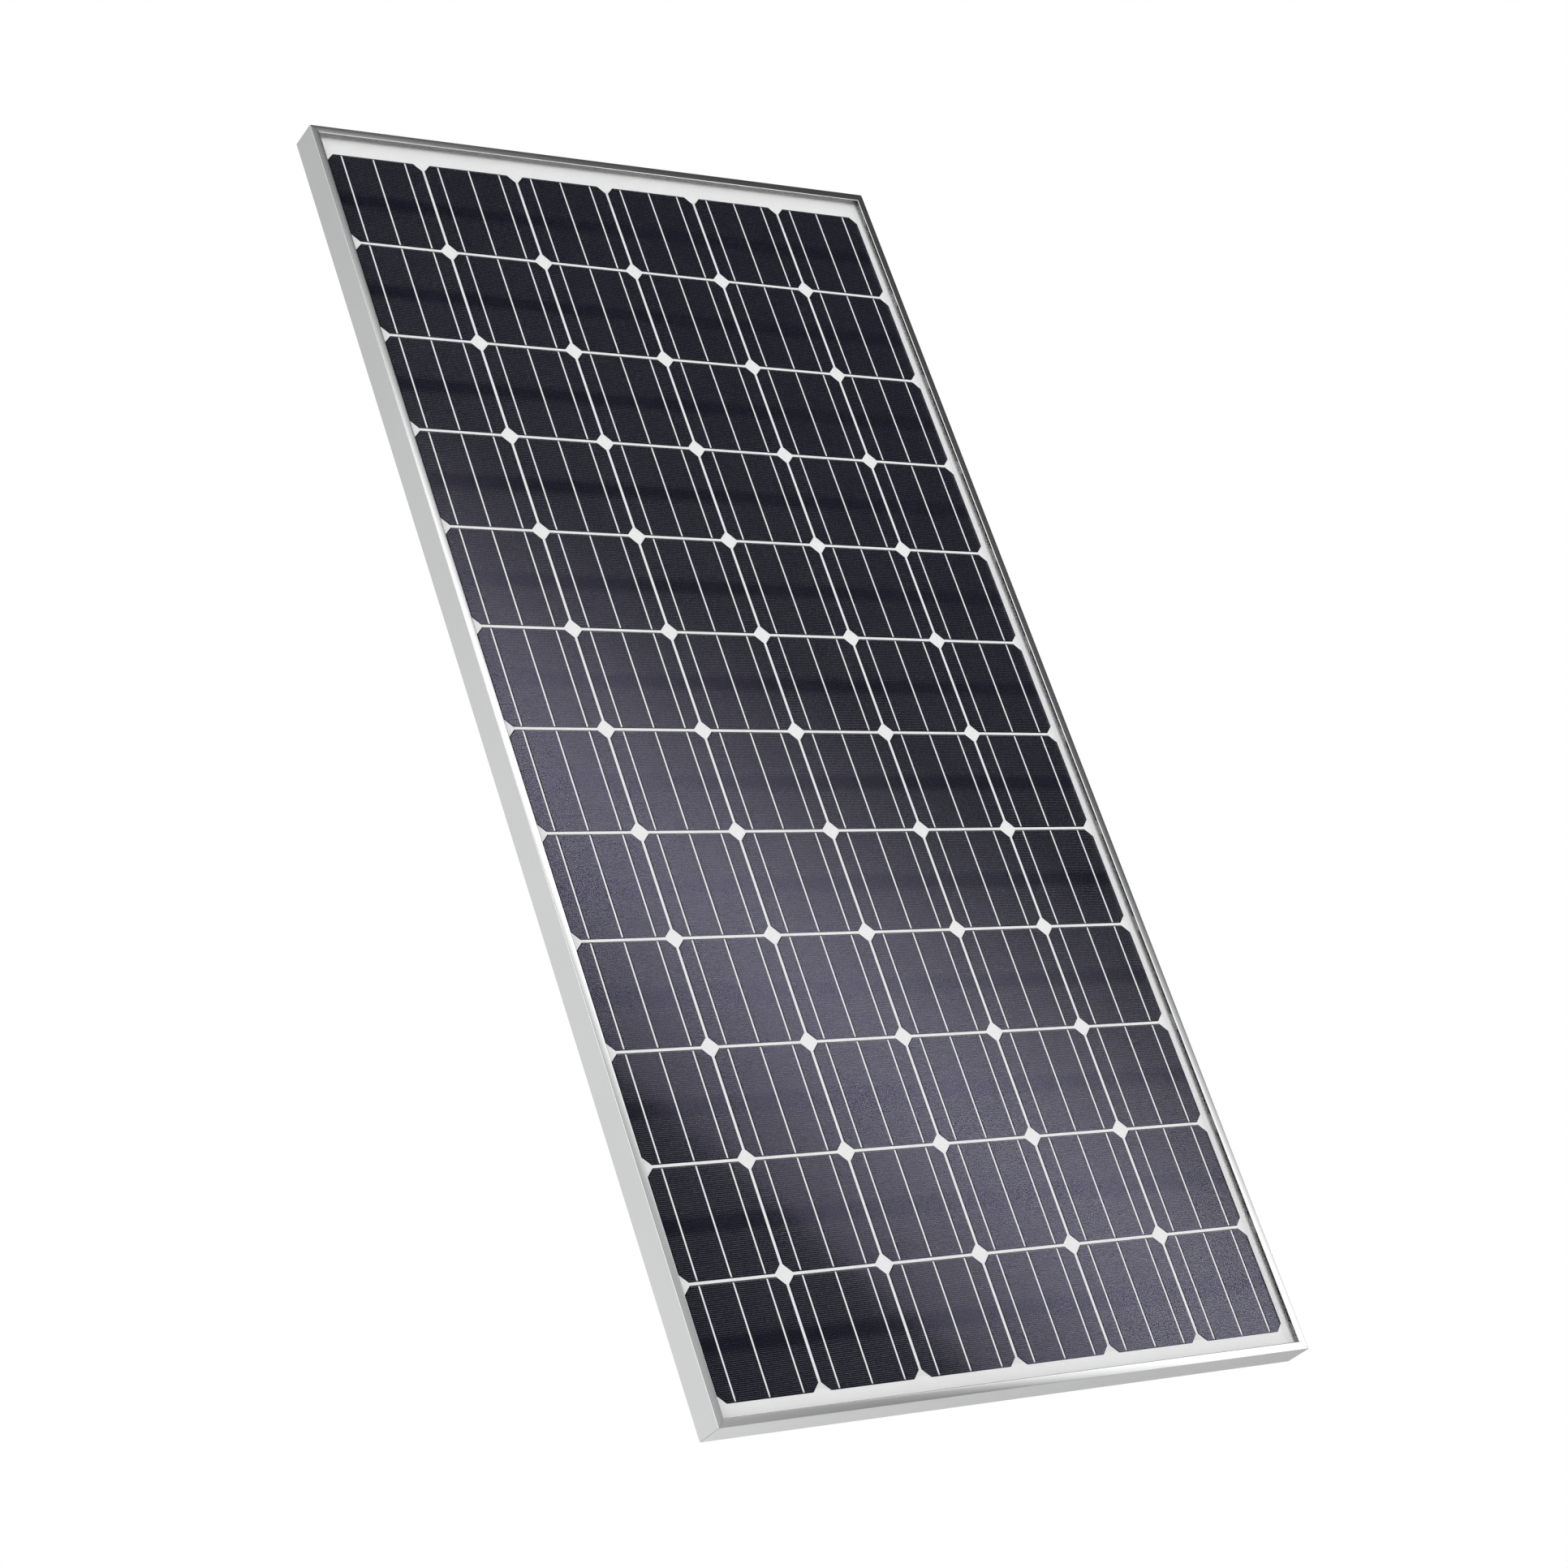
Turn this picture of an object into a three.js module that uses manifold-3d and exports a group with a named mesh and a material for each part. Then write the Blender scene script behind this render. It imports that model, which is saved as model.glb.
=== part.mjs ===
// A framed solar panel: 72 square-shouldered silicon cells in six strings of twelve, laminated behind
// glass and held in the groove of a mitred aluminium frame, with a junction box on its back.
//
// Millimetres. The panel stands upright: X runs across it, Z up its length and Y through its depth, with
// the glass facing -Y. The origin is at the middle of its footprint. Depths are written as q, the
// distance behind the front of the frame, and places across a rail as u, the distance in from its outer
// face.

import * as THREE from "three";
import { mergeVertices } from "three/addons/utils/BufferGeometryUtils.js";
import Module from "manifold-3d";

const wasm = await Module();
wasm.setup();

// ---- Driving dimensions -------------------------------------------------------------------------------

const WIDTH = 992;
const LENGTH = 1960;
const DEPTH = 45;

const CURVE_SEGMENTS = 2; // an arc takes twice as many

const TOUCH = 0.05; // between flat layers that lie on each other
const FIT = 0.3; // between pieces that slide together

// Frame rail section
const WALL = 1.8;
const LIP_WIDTH = 12;
const LIP_HEIGHT = 8.1;
const LIP_WALL = 1.6;
const LIP_CROWN = 0.08;
const EDGE_RADIUS = 0.7;
const INNER_EDGE_RADIUS = 1; // beside the glass
const GROOVE_HEIGHT = 6;
const CHAMBER_HEIGHT = 9.8;
const FLANGE_WIDTH = 32;
const FLANGE_BEAD = 1.4;
const MITRE_GAP = 0.15;

// Cells
const COLUMNS = 6;
const ROWS = 12;
const CELL_WIDTH = 155;
const CELL_HEIGHT = 153.7;
const CELL_CORNER = 11.7;
const CELL_THICKNESS = 0.2;
const PITCH_X = 159.3;
const PITCH_Z = 157.7;
const BOTTOM_MARGIN = 33; // outer face of the frame to the lowest cells
const BUSBARS = [-52, 0, 52];
const TAB_WIDTH = 2;

// Laminate
const LAMINATE_EDGE = 4; // outer face of the frame to the edge of the glass
const GLASS_FRONT = 8.5;
const GLASS = 3.2;
const GLASS_ARRIS = 0.3;
const GLASS_CORNER = 1.5;
const FRONT_FILM = 0.4;
const REAR_FILM = 0.75;
const BACKSHEET = 0.35;

// Ribbons behind the end cells
const BUS_WIDTH = 6;
const BUS_THICKNESS = 0.2;
const BUS_OVERHANG = 4; // past the outermost busbar of a string
const STRIP_THICKNESS = 0.1;
const STRIP_MARGIN = 3;
const BOTTOM_BUS_Z = 43;
const TOP_BUS_Z = [1906, 1894]; // outer leads, then inner leads
const LEAD_WIDTH = 5;
const LEAD_THICKNESS = 0.3;
const SLIT_MARGIN = 1; // past each end of a lead
const SLIT_WIDTH = 3;

// Frame holes
const SLOT_U = 20;
const SLOT_LENGTH = 14;
const SLOT_WIDTH = 9;
const SLOT_OFFSETS = [495, 650]; // either side of the middle of a long rail
const GROUND_HOLE = 4.2;
const GROUND_OFFSET = 250;
const DRAIN_U = 6;
const DRAIN_LENGTH = 10;
const DRAIN_WIDTH = 3.5;
const DRAIN_FROM_END = 70;

// Corner keys
const KEY_ARM = 78;
const KEY_BARB = 0.7;
const KEY_BARB_PITCH = 14;
const KEY_TIP = 2;

// Junction box
const BOX_WIDTH = 130;
const BOX_HEIGHT = 110;
const BOX_DEPTH = 20;
const BOX_WALL = 2.4;
const BOX_FLOOR = 2.2;
const BOX_RADIUS = 8;
const BOX_SKIRT = 3;
const SKIRT_HEIGHT = 2;
const BOX_Z = 1864; // centre
const ADHESIVE = 0.65;
const LID = 2.6;
const LID_OVERHANG = 1;
const LID_PLUG = 2.8;
const PLUG_GAP = 0.5; // inside the walls of the box
const PLUG_THICKNESS = 1.6;
const TONGUE = { width: 24, thickness: 1.7, from: 12 };
const LID_RIB = { length: 80, width: 3, height: 1, place: 30 };
const GASKET = 0.5;
const TERMINAL_PITCH = 26;
const GLAND_X = 35;
const GLAND_HEIGHT = 9.9;

const HALF_WIDTH = WIDTH / 2;
const HALF_DEPTH = DEPTH / 2;
const PAST = 1; // how far a cutting tool runs past what it cuts
const STACK = layers();

// The front and back of each layer of the laminate, as depths q.
function layers() {
  const order = [
    ["glass", GLASS],
    ["frontFilm", FRONT_FILM],
    ["cells", CELL_THICKNESS],
    ["rearFilm", REAR_FILM],
    ["backsheet", BACKSHEET],
  ];
  const places = {};
  let front = GLASS_FRONT;
  for (const [layer, thickness] of order) {
    places[layer] = [front, front + thickness];
    front += thickness + TOUCH;
  }
  return places;
}

// ---- Materials ----------------------------------------------------------------------------------------

function material(color, roughness, metalness) {
  return new THREE.MeshStandardMaterial({ color, roughness, metalness });
}

const ANODISED = material(0xc9cacc, 0.35, 0.9);
const KEY_ALLOY = material(0xa8aaad, 0.5, 0.9);
const CLEAR_GLASS = new THREE.MeshStandardMaterial({
  color: 0xf4f8f8,
  roughness: 0.06,
  metalness: 0,
  transparent: true,
  opacity: 0.25,
});
const CLEAR_FILM = new THREE.MeshStandardMaterial({
  color: 0xf6f6f2,
  roughness: 0.3,
  metalness: 0,
  transparent: true,
  opacity: 0.2,
});
const SILICON = material(0x1d1e2a, 0.25, 0.2);
const TINNED_COPPER = material(0xc4c6c8, 0.35, 0.9);
const WHITE_SHEET = material(0xe8e9ea, 0.6, 0);
const WHITE_STRIP = material(0xdedfdc, 0.7, 0);
const SILICONE = material(0xd9dadb, 0.7, 0);
const BLACK_PLASTIC = material(0x17181a, 0.5, 0);
const BLACK_RUBBER = material(0x111213, 0.8, 0);
const STEEL = material(0x9b9da0, 0.35, 1);
const EPOXY = material(0x0e0e10, 0.45, 0);

// ---- Solids -------------------------------------------------------------------------------------------

function toSolid(geometry) {
  const bare = geometry.index ? geometry.toNonIndexed() : geometry.clone();
  bare.deleteAttribute("normal");
  bare.deleteAttribute("uv");
  const merged = mergeVertices(bare, 1e-4);
  return new wasm.Manifold(
    new wasm.Mesh({
      numProp: 3,
      vertProperties: new Float32Array(merged.attributes.position.array),
      triVerts: new Uint32Array(merged.index.array),
    }),
  );
}

function toGeometry(solid) {
  const mesh = solid.getMesh();
  const geometry = new THREE.BufferGeometry();
  geometry.setAttribute("position", new THREE.BufferAttribute(new Float32Array(mesh.vertProperties), 3));
  geometry.setIndex(new THREE.BufferAttribute(new Uint32Array(mesh.triVerts), 1));
  geometry.computeVertexNormals();
  return geometry;
}

function join(...pieces) {
  return toGeometry(pieces.map(toSolid).reduce((whole, piece) => whole.add(piece)));
}

function cut(piece, ...tools) {
  return toGeometry(tools.map(toSolid).reduce((whole, tool) => whole.subtract(tool), toSolid(piece)));
}

function block([x0, x1], [y0, y1], [z0, z1]) {
  const middle = [(x0 + x1) / 2, (y0 + y1) / 2, (z0 + z1) / 2];
  return new THREE.BoxGeometry(x1 - x0, y1 - y0, z1 - z0).translate(...middle);
}

// A round bar between two ends, along the axis "x", "y" or "z", through the point at its middle.
function bar(axis, radius, [from, to], [a, b], sides = 16) {
  const bare = new THREE.CylinderGeometry(radius, radius, to - from, sides);
  const middle = (from + to) / 2;
  if (axis === "x") return bare.rotateZ(Math.PI / 2).translate(middle, a, b);
  if (axis === "y") return bare.translate(a, middle, b);
  return bare.rotateX(Math.PI / 2).translate(a, b, middle);
}

function rectangle([x0, x1], [y0, y1], radius = 0) {
  const shape = new THREE.Shape();
  if (radius === 0) {
    shape.setFromPoints([
      new THREE.Vector2(x0, y0),
      new THREE.Vector2(x1, y0),
      new THREE.Vector2(x1, y1),
      new THREE.Vector2(x0, y1),
    ]);
    return shape;
  }
  shape.absarc(x1 - radius, y0 + radius, radius, -Math.PI / 2, 0);
  shape.absarc(x1 - radius, y1 - radius, radius, 0, Math.PI / 2);
  shape.absarc(x0 + radius, y1 - radius, radius, Math.PI / 2, Math.PI);
  shape.absarc(x0 + radius, y0 + radius, radius, Math.PI, 1.5 * Math.PI);
  return shape;
}

const centred = (width, height, radius) =>
  rectangle([-width / 2, width / 2], [-height / 2, height / 2], radius);

function extrude(shape, from, to) {
  const geometry = new THREE.ExtrudeGeometry(shape, {
    depth: to - from,
    bevelEnabled: false,
    curveSegments: CURVE_SEGMENTS,
  });
  return geometry.translate(0, 0, from);
}

// A slot with round ends, centred on the origin and running along Y, cut through along Z.
function slot(length, width, from, to) {
  const almostRound = width / 2 - 1e-3;
  return extrude(centred(width, length, almostRound), from, to);
}

const yAt = (q) => q - HALF_DEPTH;

const panel = new THREE.Group();
panel.name = "solar_panel";

function add(name, geometry, look, parent = panel) {
  const mesh = new THREE.Mesh(geometry, look);
  mesh.name = name;
  parent.add(mesh);
  return mesh;
}

// ---- Frame --------------------------------------------------------------------------------------------

const GROOVE_BACK = LIP_HEIGHT + GROOVE_HEIGHT;
const CHAMBER = [GROOVE_BACK + WALL, GROOVE_BACK + WALL + CHAMBER_HEIGHT];
const CHAMBER_BACK = CHAMBER[1] + WALL;
const FLANGE_FRONT = DEPTH - WALL;

// The rail section in u and q: a hollow lip, the groove for the laminate, a chamber for the corner keys
// and a mounting flange with a stiffening bead.
function railSection() {
  const shape = new THREE.Shape();
  const r = EDGE_RADIUS;
  const inner = INNER_EDGE_RADIUS;
  const down = 1.5 * Math.PI; // the angle at which an arc faces the front
  const halfCrown = (LIP_WIDTH - r - inner) / 2;
  const crownRadius = (halfCrown ** 2 + LIP_CROWN ** 2) / (2 * LIP_CROWN);
  const crownTurn = Math.asin(halfCrown / crownRadius);
  shape.moveTo(0, LIP_CROWN + r);
  shape.absarc(r, LIP_CROWN + r, r, Math.PI, down);
  shape.absarc(r + halfCrown, crownRadius, crownRadius, down - crownTurn, down + crownTurn);
  shape.absarc(LIP_WIDTH - inner, LIP_CROWN + inner, inner, down, 2 * Math.PI);
  shape.lineTo(LIP_WIDTH, LIP_HEIGHT);
  shape.lineTo(WALL, LIP_HEIGHT);
  shape.lineTo(WALL, GROOVE_BACK);
  shape.lineTo(LIP_WIDTH, GROOVE_BACK);
  shape.lineTo(LIP_WIDTH, CHAMBER_BACK);
  shape.lineTo(WALL, CHAMBER_BACK);
  shape.lineTo(WALL, FLANGE_FRONT);
  shape.lineTo(FLANGE_WIDTH - WALL, FLANGE_FRONT);
  shape.lineTo(FLANGE_WIDTH - WALL, FLANGE_FRONT - FLANGE_BEAD);
  shape.lineTo(FLANGE_WIDTH, FLANGE_FRONT - FLANGE_BEAD);
  shape.lineTo(FLANGE_WIDTH, DEPTH);
  shape.absarc(r, DEPTH - r, r, Math.PI / 2, Math.PI);
  shape.holes.push(
    rectangle([WALL, LIP_WIDTH - LIP_WALL], [LIP_WALL, LIP_HEIGHT - LIP_WALL]),
    rectangle([WALL, LIP_WIDTH - WALL], CHAMBER),
  );
  return shape;
}

// A rail along Z with both ends sheared to 45 degrees.
function mitredRail(length) {
  const geometry = extrude(railSection(), 0, length);
  const places = geometry.attributes.position;
  const shear = MITRE_GAP * Math.SQRT2;
  for (let i = 0; i < places.count; i += 1) {
    const inset = places.getX(i) + shear;
    const atStart = places.getZ(i) < length / 2;
    places.setZ(i, atStart ? inset : length - inset);
  }
  return geometry;
}

// Cutting tools for the flange of a rail of this length, run through it along q.
function flangeHoles(length, slotOffsets) {
  const through = [FLANGE_FRONT - PAST, DEPTH + PAST];
  const laid = (tool, u, s) => tool.rotateX(-Math.PI / 2).translate(u, 0, s);
  const tools = [];
  for (const side of [-1, 1]) {
    for (const offset of slotOffsets) {
      tools.push(laid(slot(SLOT_LENGTH, SLOT_WIDTH, ...through), SLOT_U, length / 2 + side * offset));
    }
    tools.push(bar("y", GROUND_HOLE / 2, through, [SLOT_U, length / 2 + side * GROUND_OFFSET], 12));
    const drain = slot(DRAIN_LENGTH, DRAIN_WIDTH, ...through);
    tools.push(laid(drain, DRAIN_U, length / 2 + side * (length / 2 - DRAIN_FROM_END)));
  }
  return tools;
}

function buildFrame() {
  const long = cut(mitredRail(LENGTH), ...flangeHoles(LENGTH, SLOT_OFFSETS));
  const short = cut(mitredRail(WIDTH), ...flangeHoles(WIDTH, []));
  const rails = [
    ["left_rail", long, 0, -HALF_WIDTH, 0],
    ["right_rail", long, Math.PI, HALF_WIDTH, LENGTH],
    ["bottom_rail", short, -Math.PI / 2, HALF_WIDTH, 0],
    ["top_rail", short, Math.PI / 2, -HALF_WIDTH, LENGTH],
  ];
  for (const [name, geometry, turn, x, z] of rails) {
    const rail = add(name, geometry, ANODISED);
    rail.rotation.y = turn;
    rail.position.set(x, -HALF_DEPTH, z);
  }
}

// A corner key: an L of solid bar whose arms fit the chambers of two rails, barbed on the inner side.
function keyOutline() {
  const near = WALL + FIT;
  const far = LIP_WIDTH - WALL - FIT;
  const barbs = [];
  for (let s = far + KEY_BARB_PITCH / 2; s < KEY_ARM - KEY_BARB_PITCH; s += KEY_BARB_PITCH) {
    barbs.push([s, far], [s + KEY_BARB_PITCH / 2, far - KEY_BARB], [s + KEY_BARB_PITCH / 2, far]);
  }
  const inner = [...barbs, [KEY_ARM, far], [KEY_ARM, near + KEY_BARB], [KEY_ARM - KEY_TIP, near]];
  const upArm = inner.map(([along, across]) => [across, along]);
  const outline = [[near, near], ...upArm.reverse(), [far, far], ...inner];
  const shape = new THREE.Shape();
  shape.setFromPoints(outline.map(([x, y]) => new THREE.Vector2(x, y)));
  return shape;
}

function buildCornerKeys() {
  const [front, back] = [CHAMBER[0] + FIT, CHAMBER[1] - FIT];
  const corners = [
    ["corner_key_bottom_left", -HALF_WIDTH, 0, 0],
    ["corner_key_bottom_right", HALF_WIDTH, 0, Math.PI / 2],
    ["corner_key_top_right", HALF_WIDTH, LENGTH, Math.PI],
    ["corner_key_top_left", -HALF_WIDTH, LENGTH, -Math.PI / 2],
  ];
  for (const [name, x, z, turn] of corners) {
    const geometry = extrude(keyOutline(), front - back, 0).rotateZ(turn).rotateX(Math.PI / 2);
    add(name, geometry, KEY_ALLOY).position.set(x, yAt(front), z);
  }
}

// ---- Laminate -----------------------------------------------------------------------------------------

const inset = (by) => [[-HALF_WIDTH + by, HALF_WIDTH - by], [by, LENGTH - by]];

// The tape that wraps the edge of the laminate, front, side and back, inside the groove of the frame.
function buildEdgeSealant() {
  const [x, z] = inset(WALL + TOUCH);
  const [laminateX, laminateZ] = inset(LAMINATE_EDGE - TOUCH);
  const [windowX, windowZ] = inset(LIP_WIDTH - FIT);
  const depths = [yAt(LIP_HEIGHT + TOUCH), yAt(GROOVE_BACK - TOUCH)];
  const laminate = [yAt(GLASS_FRONT - TOUCH), yAt(STACK.backsheet[1] + TOUCH)];
  const through = [-HALF_DEPTH, HALF_DEPTH];
  const outer = block(x, depths, z);
  const ring = cut(outer, block(laminateX, laminate, laminateZ), block(windowX, through, windowZ));
  add("edge_sealant", ring, SILICONE);
}

// A sheet of glass with ground edges and nipped corners.
function buildGlass() {
  const [x, z] = inset(LAMINATE_EDGE + GLASS_ARRIS);
  const shape = new THREE.Shape();
  const c = GLASS_CORNER;
  shape.setFromPoints(
    [
      [x[0] + c, z[0]],
      [x[1] - c, z[0]],
      [x[1], z[0] + c],
      [x[1], z[1] - c],
      [x[1] - c, z[1]],
      [x[0] + c, z[1]],
      [x[0], z[1] - c],
      [x[0], z[0] + c],
    ].map(([a, b]) => new THREE.Vector2(a, b)),
  );
  const geometry = new THREE.ExtrudeGeometry(shape, {
    depth: GLASS - 2 * GLASS_ARRIS,
    bevelEnabled: true,
    bevelSegments: 1,
    bevelSize: GLASS_ARRIS,
    bevelThickness: GLASS_ARRIS,
  });
  const glass = add("front_glass", geometry, CLEAR_GLASS);
  glass.rotation.x = Math.PI / 2;
  glass.position.y = yAt(STACK.glass[1] - GLASS_ARRIS);
}

const columnX = (column) => (column - (COLUMNS - 1) / 2) * PITCH_X;
const rowZ = (row) => BOTTOM_MARGIN + CELL_HEIGHT / 2 + row * PITCH_Z;

// A wafer with its four corners cut off.
function waferOutline() {
  const [x, z] = [CELL_WIDTH / 2, CELL_HEIGHT / 2];
  const [flatX, flatZ] = [x - CELL_CORNER, z - CELL_CORNER];
  const half = [
    [x, -flatZ],
    [x, flatZ],
    [flatX, z],
    [-flatX, z],
  ];
  const points = [...half, ...half.map(([a, b]) => [-a, -b])];
  const shape = new THREE.Shape();
  shape.setFromPoints(points.map(([a, b]) => new THREE.Vector2(a, b)));
  return shape;
}

// Twelve wafers in a line, soldered together by three ribbons across each gap.
function cellString(x) {
  const pieces = [];
  for (let row = 0; row < ROWS; row += 1) {
    pieces.push(extrude(waferOutline(), 0, CELL_THICKNESS).translate(x, rowZ(row), 0));
  }
  for (let row = 0; row < ROWS - 1; row += 1) {
    const gap = [rowZ(row) + CELL_HEIGHT / 2, rowZ(row + 1) - CELL_HEIGHT / 2];
    for (const busbar of BUSBARS) {
      const across = [x + busbar - TAB_WIDTH / 2, x + busbar + TAB_WIDTH / 2];
      pieces.push(block(across, gap, [0, CELL_THICKNESS]));
    }
  }
  return join(...pieces);
}

function buildStrings() {
  for (let column = 0; column < COLUMNS; column += 1) {
    const string = add("cell_string_" + (column + 1), cellString(columnX(column)), SILICON);
    string.rotation.x = Math.PI / 2;
    string.position.y = yAt(STACK.cells[1]);
  }
}

// Where the four leads enter the junction box, and the bus ribbon that each belongs to.
const TERMINAL_X = [-1.5, -0.5, 0.5, 1.5].map((step) => step * TERMINAL_PITCH);
const BUS_REACH = BUSBARS[2] + BUS_OVERHANG;
const BOTTOM_BUSES = [0, 2, 4].map((column) => [columnX(column) - BUS_REACH, columnX(column + 1) + BUS_REACH]);
const TOP_BUSES = [
  { x: [columnX(0) - BUS_REACH, TERMINAL_X[0] + LEAD_WIDTH / 2], z: TOP_BUS_Z[0] },
  { x: [columnX(1) - BUS_REACH, TERMINAL_X[1] + LEAD_WIDTH / 2], z: TOP_BUS_Z[1] },
  { x: [TERMINAL_X[2] - LEAD_WIDTH / 2, columnX(4) + BUS_REACH], z: TOP_BUS_Z[1] },
  { x: [TERMINAL_X[3] - LEAD_WIDTH / 2, columnX(5) + BUS_REACH], z: TOP_BUS_Z[0] },
];
const STRIP_X = [columnX(0) - BUS_REACH - STRIP_MARGIN, columnX(COLUMNS - 1) + BUS_REACH + STRIP_MARGIN];
const busBand = (low, high) => [low - BUS_WIDTH / 2 - STRIP_MARGIN, high + BUS_WIDTH / 2 + STRIP_MARGIN];
const BOTTOM_BAND = busBand(BOTTOM_BUS_Z, BOTTOM_BUS_Z);
const TOP_BAND = busBand(TOP_BUS_Z[1], TOP_BUS_Z[0]);
const STRIP_FRONT = STACK.rearFilm[0] + TOUCH;
const BUS_FRONT = STRIP_FRONT + STRIP_THICKNESS + TOUCH;
const BUS_BACK = BUS_FRONT + BUS_THICKNESS;

const BOX_FOOT = STACK.backsheet[1] + 2 * TOUCH + ADHESIVE + TOUCH; // depth of the underside of the box
const TERMINAL_FLOOR = BOX_FLOOR + FIT;
const TERMINAL_WALL = 1.2;
const LEAD_TOP = BOX_FOOT + TERMINAL_FLOOR + TERMINAL_WALL + FIT + LEAD_THICKNESS;
const LEAD_END_Z = BOX_Z + 14;

function buildBusRibbons() {
  const depths = [yAt(BUS_FRONT), yAt(BUS_BACK)];
  const around = (z) => [z - BUS_WIDTH / 2, z + BUS_WIDTH / 2];
  BOTTOM_BUSES.forEach((x, i) => {
    add("bottom_bus_ribbon_" + (i + 1), block(x, depths, around(BOTTOM_BUS_Z)), TINNED_COPPER);
  });
  TOP_BUSES.forEach(({ x, z }, i) => {
    const leadX = [TERMINAL_X[i] - LEAD_WIDTH / 2, TERMINAL_X[i] + LEAD_WIDTH / 2];
    const half = LEAD_THICKNESS / 2;
    const strip = block(x, depths, around(z));
    const riser = block(leadX, [depths[0], yAt(LEAD_TOP)], [z - half, z + half]);
    const tail = block(leadX, [yAt(LEAD_TOP - LEAD_THICKNESS), yAt(LEAD_TOP)], [LEAD_END_Z, z + half]);
    add("top_bus_ribbon_" + (i + 1), join(strip, riser, tail), TINNED_COPPER);
  });
}

// Openings through the back of the laminate for the four leads.
function leadSlits() {
  return TOP_BUSES.map(({ z }, i) => {
    const half = LEAD_WIDTH / 2 + SLIT_MARGIN;
    const through = [yAt(STACK.rearFilm[0]) - PAST, yAt(STACK.backsheet[1]) + PAST];
    const x = [TERMINAL_X[i] - half, TERMINAL_X[i] + half];
    return block(x, through, [z - SLIT_WIDTH / 2, z + SLIT_WIDTH / 2]);
  });
}

function buildLaminate() {
  const [x, z] = inset(LAMINATE_EDGE);
  const depths = ([front, back]) => [yAt(front), yAt(back)];
  const strip = [yAt(STRIP_FRONT), yAt(STRIP_FRONT + STRIP_THICKNESS)];
  const pocket = [yAt(STACK.rearFilm[0]) - PAST, yAt(BUS_BACK + TOUCH)];
  const wider = ([low, high]) => [low - SLIT_MARGIN, high + SLIT_MARGIN];
  buildGlass();
  add("front_encapsulant", block(x, depths(STACK.frontFilm), z), CLEAR_FILM);
  buildStrings();
  add("bottom_insulation_strip", block(STRIP_X, strip, BOTTOM_BAND), WHITE_STRIP);
  add("top_insulation_strip", block(STRIP_X, strip, TOP_BAND), WHITE_STRIP);
  buildBusRibbons();
  const pockets = [BOTTOM_BAND, TOP_BAND].map((band) => block(wider(STRIP_X), pocket, wider(band)));
  add("rear_encapsulant", cut(block(x, depths(STACK.rearFilm), z), ...pockets, ...leadSlits()), CLEAR_FILM);
  add("backsheet", cut(block(x, depths(STACK.backsheet), z), ...leadSlits()), WHITE_SHEET);
  buildEdgeSealant();
}

// ---- Junction box -------------------------------------------------------------------------------------
// Modelled in a frame of its own: X across, Y down the panel and Z out from its back, from the underside
// of the box.

const HALF_BOX_X = BOX_WIDTH / 2;
const HALF_BOX_Y = BOX_HEIGHT / 2;
const LID_FRONT = BOX_DEPTH + GASKET + 2 * TOUCH;
const LID_BACK = LID_FRONT + LID;

const KNUCKLE_RADIUS = 3.2;
const PIN_RADIUS = 1.5;
const PIN_HOLE = PIN_RADIUS + FIT / 2;
const HINGE_GAP = 0.5;
const HINGE_Y = -HALF_BOX_Y - KNUCKLE_RADIUS - HINGE_GAP;
const HINGE_Z = (LID_FRONT + LID_BACK) / 2;
const LID_KNUCKLE = [-21.5, 21.5];
const EARS = [
  [-32, -22],
  [22, 32],
];
const EAR_FOOT = 12;
const PIN_X = [-34, 34];
const PIN_HOLE_X = [-40, 40];

const FLOOR_OPENING = [
  [-50, 50],
  [-49, -24],
];
const COLLAR = { radius: 8.5, length: 4 };
const STUB = { radius: 6, length: 12, bore: 4 };
const NUT = { bore: STUB.radius + 0.4, radius: 9, length: 17.5, start: COLLAR.length + 0.5, hole: 4 };
const SEAL = { length: 5.4, bore: 3.2 };
const NUT_DOME = { length: 5, tipInset: 3, footInset: 0.8, sunk: 0.5 };
const NUT_FLUTES = { count: 12, depth: 0.6 };

const TERMINAL = { width: 14, height: 4.5, from: -22, to: 25 };
const DIODE = { radius: 2.7, length: 9.5, chamfer: 0.4, leadRadius: 0.6, leadReach: 12, y: 8, height: 8.3 };

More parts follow.
